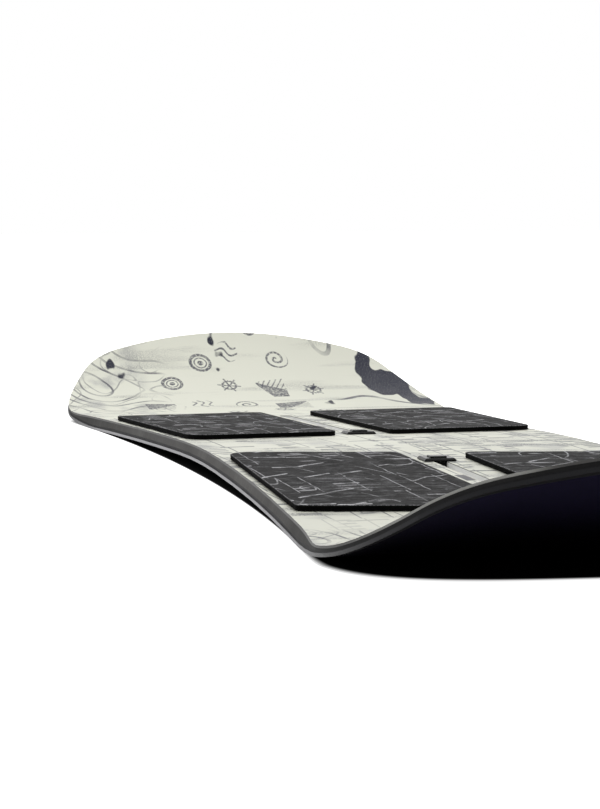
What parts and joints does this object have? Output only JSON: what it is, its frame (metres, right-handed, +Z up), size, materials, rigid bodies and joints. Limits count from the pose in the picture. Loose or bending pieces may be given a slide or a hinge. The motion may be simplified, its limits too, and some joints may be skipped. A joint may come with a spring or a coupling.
{
  "type": "snowboard with stomp pads",
  "caption": "Cambered snowboard with steel edges, upturned tips and slotted foot channels holding sliding plugs; slanted foam stomp pads are bonded to the deck for the rider's feet.",
  "frame": {"origin": "Centre of the board's footprint at the height of the two contact lines of the running base", "axes": "+X along the board towards the nose, +Y across it, +Z up from the deck"},
  "size_m": [1.3, 0.293, 0.0617],
  "materials": {
    "base_plastic": "gloss",
    "edge_steel": "satin",
    "glass_laminate": "satin",
    "core_wood": "matte",
    "sidewall_plastic": "satin",
    "topsheet_plastic": "satin",
    "rail_plastic": "matte",
    "slider_plastic": "satin",
    "pad_film": "satin",
    "pad_foam": "matte",
    "pad_skin": "matte"
  },
  "bodies": {
    "board": {"running_base": "base_plastic", "steel_edge": "edge_steel", "lower_laminate": "glass_laminate", "upper_laminate": "glass_laminate", "wood_core": "core_wood", "sidewall_left": "sidewall_plastic", "sidewall_right": "sidewall_plastic", "tip_spacer_nose": "sidewall_plastic", "tip_spacer_tail": "sidewall_plastic", "topsheet": "topsheet_plastic", "channel_rail_nose": "rail_plastic", "channel_rail_tail": "rail_plastic", "pad_film_nose_left": "pad_film", "pad_foam_nose_left": "pad_foam", "pad_skin_nose_left": "pad_skin", "pad_film_nose_right": "pad_film", "pad_foam_nose_right": "pad_foam", "pad_skin_nose_right": "pad_skin", "pad_film_tail_left": "pad_film", "pad_foam_tail_left": "pad_foam", "pad_skin_tail_left": "pad_skin", "pad_film_tail_right": "pad_film", "pad_foam_tail_right": "pad_foam", "pad_skin_tail_right": "pad_skin"},
    "plug_nose": {"slider_foot_nose": "slider_plastic", "slider_cap_nose": "slider_plastic"},
    "plug_tail": {"slider_foot_tail": "slider_plastic", "slider_cap_tail": "slider_plastic"}
  },
  "joints": [
    {"name": "plug_nose_slide", "type": "slide", "parent": "board", "child": "plug_nose", "axis": [0.9998, 0, -0.0187], "range_m": [0, 0.26]},
    {"name": "plug_tail_slide", "type": "slide", "parent": "board", "child": "plug_tail", "axis": [-0.9998, 0, -0.0187], "range_m": [0, 0.26]}
  ]
}
